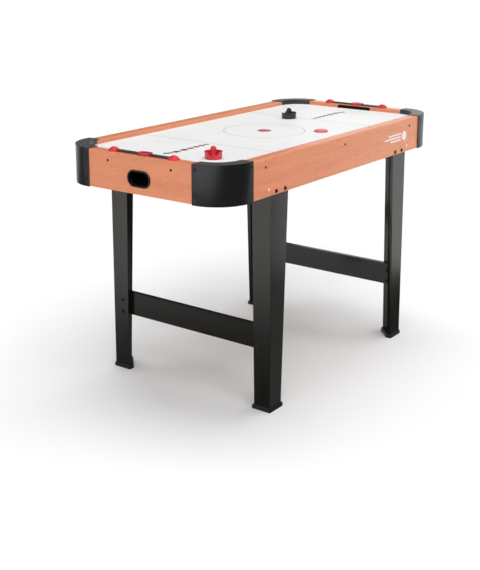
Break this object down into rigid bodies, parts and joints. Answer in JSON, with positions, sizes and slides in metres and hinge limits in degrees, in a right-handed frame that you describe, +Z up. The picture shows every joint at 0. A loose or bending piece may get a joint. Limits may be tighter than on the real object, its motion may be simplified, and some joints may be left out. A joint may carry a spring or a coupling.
{
  "type": "air hockey table",
  "caption": "Free-standing air hockey table with wood-grain rails, rounded black corner caps, tapered panel legs, slide scorers, puck and pushers.",
  "frame": {"origin": "on the floor under the middle of the table", "axes": "+X along the table, +Y across it towards the rail with the switch, +Z up"},
  "size_m": [1.22, 0.61, 0.7831],
  "materials": {
    "bar_black": "satin black bar with ticks",
    "bezel_black": "satin black moulding",
    "box_black": "black moulding",
    "cap_black": "finely textured black moulding",
    "fan_black": "black glass-filled plastic",
    "felt_black": "black felt",
    "felt_red": "red felt pad",
    "foot_black": "matte black moulding",
    "leg_charcoal": "satin charcoal foil over board",
    "motor_metal": "plated motor can",
    "playfield_white": "white laminated hardboard with printed markings",
    "plug_light": "pale plastic",
    "puck_red": "hard glossy red plastic",
    "pusher_black_plastic": "glossy black moulding",
    "pusher_red_plastic": "glossy red moulding",
    "rail_foil": "satin orange-brown wood-grain foil over board",
    "raw_board": "raw medium-density board",
    "rocker_red": "glossy red rocker",
    "scorer_red": "semi-gloss red moulding",
    "screw_black": "black-finished steel",
    "screw_dark": "bronze-finished steel",
    "steel": "zinc-plated steel",
    "switch_black": "satin black moulding"
  },
  "bodies": {
    "table": {"side_rail_front": "rail_foil", "side_rail_rear": "rail_foil", "end_rail_left": "rail_foil", "end_rail_right": "rail_foil", "corner_cap_front_left": "cap_black", "corner_cap_front_right": "cap_black", "corner_cap_rear_left": "cap_black", "corner_cap_rear_right": "cap_black", "cap_screws": "screw_black", "rail_screws": "screw_dark", "cover_plugs": "plug_light", "playfield": "playfield_white", "side_battens": "raw_board", "end_battens": "raw_board", "plenum_panel": "raw_board", "plenum_wall_left": "raw_board", "plenum_wall_right": "raw_board", "goal_box_left": "box_black", "goal_box_right": "box_black", "goal_lining_left": "felt_black", "goal_lining_right": "felt_black", "outlet_bezel_left": "bezel_black", "outlet_bezel_right": "bezel_black", "scorer_bar_left": "bar_black", "scorer_bar_right": "bar_black", "scorer_mounts_left": "scorer_red", "scorer_mounts_right": "scorer_red", "scorer_screws": "steel", "leg_end_front_left": "leg_charcoal", "leg_end_front_right": "leg_charcoal", "leg_end_rear_left": "leg_charcoal", "leg_end_rear_right": "leg_charcoal", "leg_side_front_left": "leg_charcoal", "leg_side_front_right": "leg_charcoal", "leg_side_rear_left": "leg_charcoal", "leg_side_rear_right": "leg_charcoal", "leg_blocks": "leg_charcoal", "foot_front_left": "foot_black", "foot_front_right": "foot_black", "foot_rear_left": "foot_black", "foot_rear_right": "foot_black", "stretcher_left": "leg_charcoal", "stretcher_right": "leg_charcoal", "leg_bolts": "screw_dark", "stretcher_bolts": "screw_black", "washers": "screw_black", "nuts": "screw_black", "fan_housing": "fan_black", "fan_motor": "motor_metal", "fan_grille": "fan_black", "fan_screws": "steel", "switch_plate": "switch_black", "power_inlet": "switch_black"},
    "slider_left": {"scorer_slider_left": "scorer_red"},
    "slider_right": {"scorer_slider_right": "scorer_red"},
    "impeller": {"fan_impeller": "fan_black"},
    "rocker": {"rocker_switch": "rocker_red"},
    "puck": {"puck": "puck_red"},
    "red_pusher": {"pusher_red": "pusher_red_plastic", "pusher_red_felt": "felt_red"},
    "black_pusher": {"pusher_black": "pusher_black_plastic", "pusher_black_felt": "felt_black"}
  },
  "joints": [
    {"name": "scorer_left_slide", "type": "slide", "parent": "table", "child": "slider_left", "axis": [0, 1, 0], "range_m": [-0.063, 0.077]},
    {"name": "scorer_right_slide", "type": "slide", "parent": "table", "child": "slider_right", "axis": [0, 1, 0], "range_m": [-0.063, 0.077]},
    {"name": "fan_spin", "type": "hinge", "parent": "table", "child": "impeller", "pos_m": [0, 0, 0.677], "axis": [0, 0, 1], "continuous": true},
    {"name": "rocker_tilt", "type": "hinge", "parent": "table", "child": "rocker", "pos_m": [-0.214, 0.299, 0.674], "axis": [-1, 0, 0], "range_deg": [0, 20]},
    {"name": "puck_glide", "type": "slide", "parent": "table", "child": "puck", "axis": [1, 0, 0], "range_m": [-0.483, 0.452]},
    {"name": "red_pusher_glide", "type": "slide", "parent": "table", "child": "red_pusher", "axis": [0, 1, 0], "range_m": [-0.088, 0.382]},
    {"name": "black_pusher_glide", "type": "slide", "parent": "table", "child": "black_pusher", "axis": [0, 1, 0], "range_m": [-0.174, 0.161]}
  ]
}
